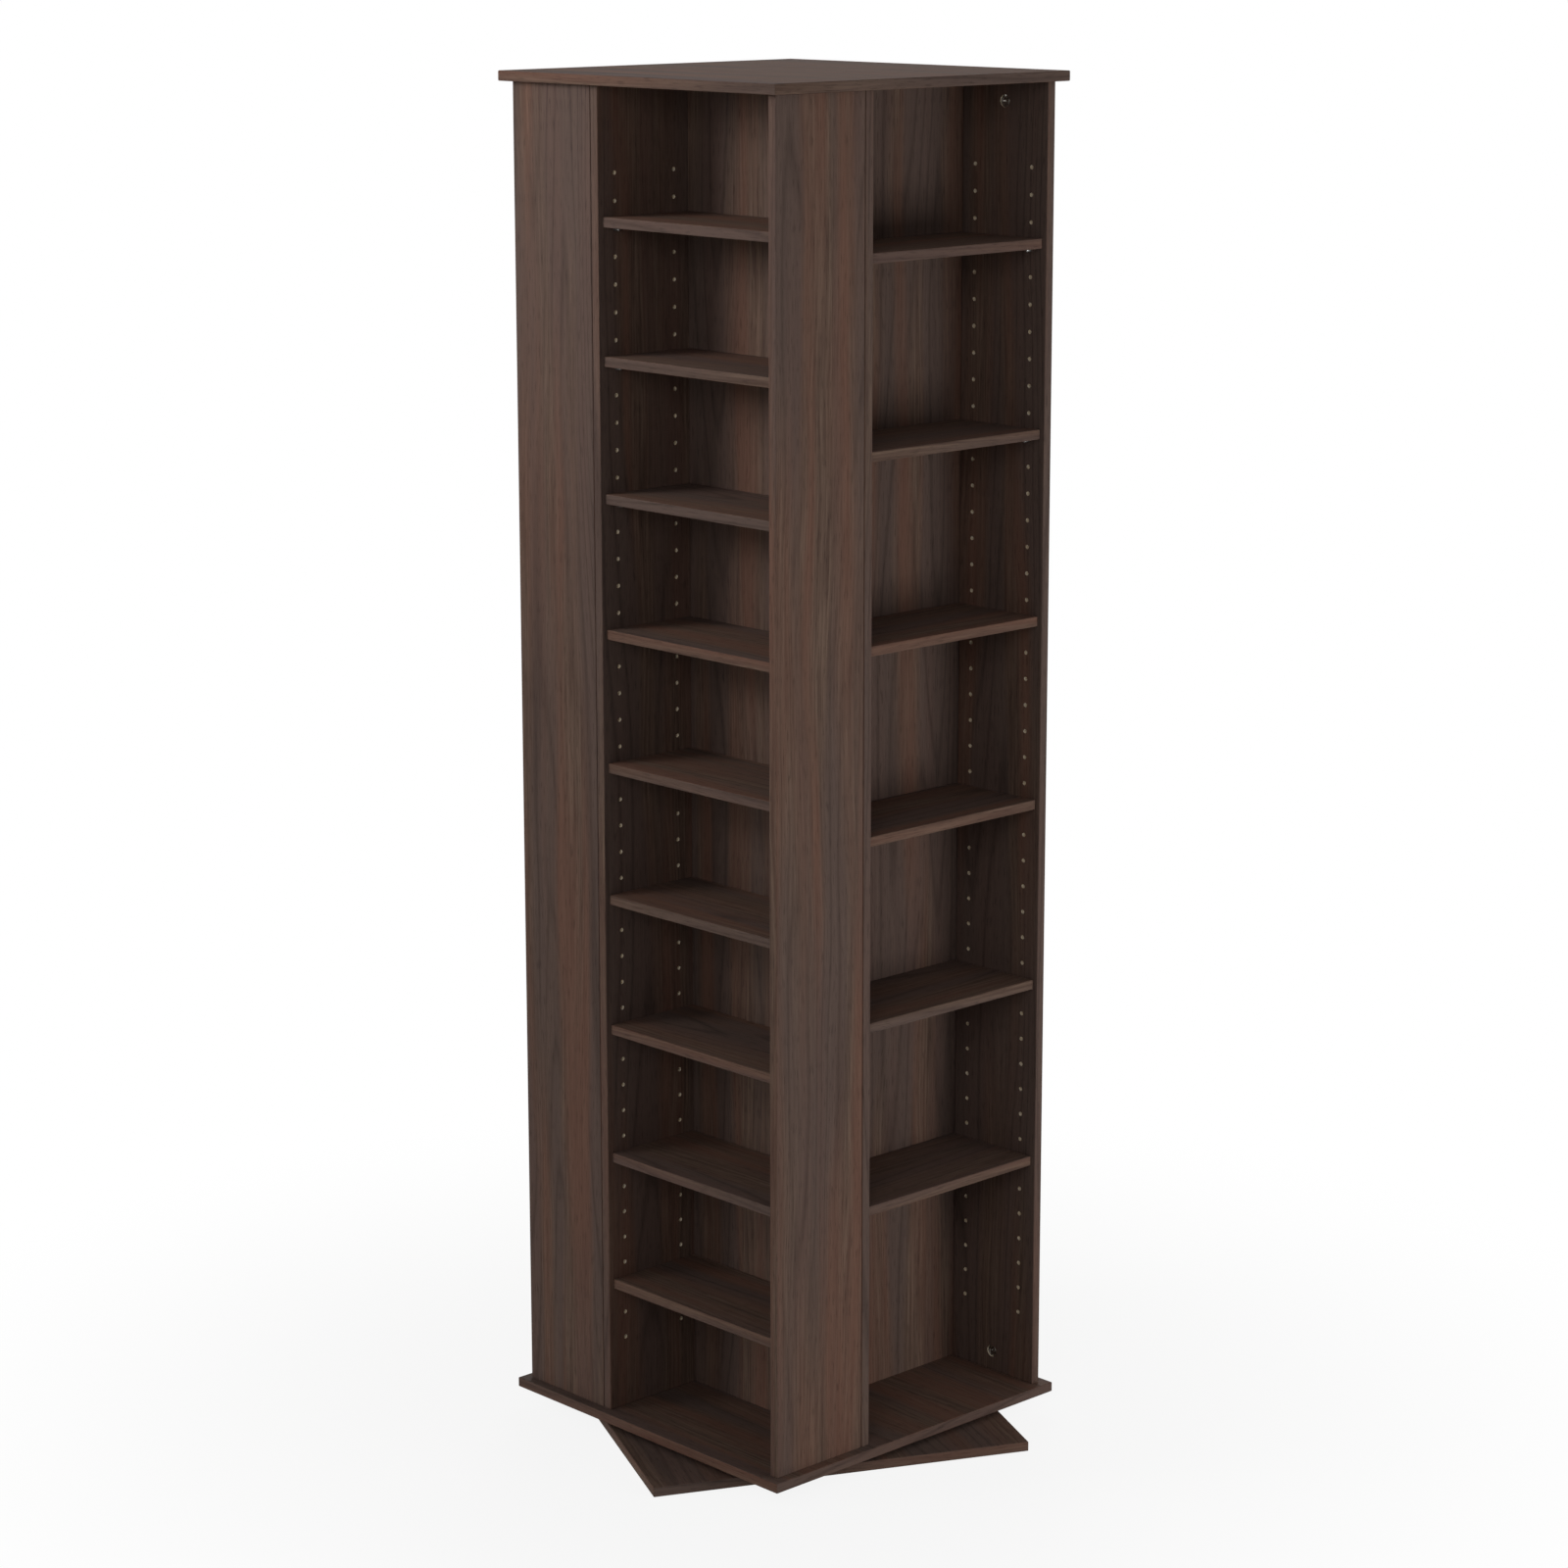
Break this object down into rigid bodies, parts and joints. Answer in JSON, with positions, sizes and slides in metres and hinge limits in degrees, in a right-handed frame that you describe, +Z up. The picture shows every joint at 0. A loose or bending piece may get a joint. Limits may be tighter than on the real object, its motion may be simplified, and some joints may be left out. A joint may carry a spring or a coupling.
{
  "type": "rotating media tower",
  "caption": "Tall four-sided open shelf tower for discs, a pinwheel of units in dark wood-grain laminate, turning on a flat bearing over a square base board.",
  "frame": {"origin": "on the spin axis, on the floor, under the middle of the base board", "axes": "+Z up along the spin axis; -Y out of the CD side and +X out of the DVD side next to it, with the tower at rest"},
  "size_m": [0.6284, 0.6284, 1.64],
  "materials": {
    "espresso_laminate": "satin printed wood-grain laminate on particle board",
    "galvanised_steel": "pressed galvanised sheet",
    "ball_steel": "polished",
    "zinc_plated_steel": "zinc plate, dulled",
    "cast_zinc": "as cast",
    "beech": "bare fluted dowel"
  },
  "bodies": {
    "base": {"base_panel": "espresso_laminate", "bearing_lower_plate": "galvanised_steel", "bearing_lower_screws": "zinc_plated_steel"},
    "ball_ring": {"bearing_balls": "ball_steel"},
    "tower": {"bearing_upper_plate": "galvanised_steel", "bearing_upper_screws": "zinc_plated_steel", "bottom_panel": "espresso_laminate", "cam_bolts": "zinc_plated_steel", "cam_locks": "cast_zinc", "divider_a": "espresso_laminate", "divider_b": "espresso_laminate", "divider_c": "espresso_laminate", "divider_d": "espresso_laminate", "dowels": "beech", "shelf_a_1": "espresso_laminate", "shelf_a_2": "espresso_laminate", "shelf_a_3": "espresso_laminate", "shelf_a_4": "espresso_laminate", "shelf_a_5": "espresso_laminate", "shelf_a_6": "espresso_laminate", "shelf_a_7": "espresso_laminate", "shelf_a_8": "espresso_laminate", "shelf_a_9": "espresso_laminate", "shelf_b_1": "espresso_laminate", "shelf_b_2": "espresso_laminate", "shelf_b_3": "espresso_laminate", "shelf_b_4": "espresso_laminate", "shelf_b_5": "espresso_laminate", "shelf_b_6": "espresso_laminate", "shelf_c_1": "espresso_laminate", "shelf_c_2": "espresso_laminate", "shelf_c_3": "espresso_laminate", "shelf_c_4": "espresso_laminate", "shelf_c_5": "espresso_laminate", "shelf_c_6": "espresso_laminate", "shelf_d_1": "espresso_laminate", "shelf_d_2": "espresso_laminate", "shelf_d_3": "espresso_laminate", "shelf_d_4": "espresso_laminate", "shelf_d_5": "espresso_laminate", "shelf_d_6": "espresso_laminate", "shelf_pins_a": "zinc_plated_steel", "shelf_pins_b": "zinc_plated_steel", "shelf_pins_c": "zinc_plated_steel", "shelf_pins_d": "zinc_plated_steel", "side_panel_a": "espresso_laminate", "side_panel_b": "espresso_laminate", "side_panel_c": "espresso_laminate", "side_panel_d": "espresso_laminate", "top_panel": "espresso_laminate"}
  },
  "joints": [
    {"name": "tower_spin", "type": "hinge", "parent": "base", "child": "tower", "pos_m": [0, 0, 0.016], "axis": [0, 0, 1], "continuous": true},
    {"name": "ball_ring_spin", "type": "hinge", "parent": "base", "child": "ball_ring", "pos_m": [0, 0, 0.016], "axis": [0, 0, 1], "continuous": true}
  ],
  "couplings": [
    {"joint": "ball_ring_spin", "follows": "tower_spin", "ratio": 0.5}
  ]
}
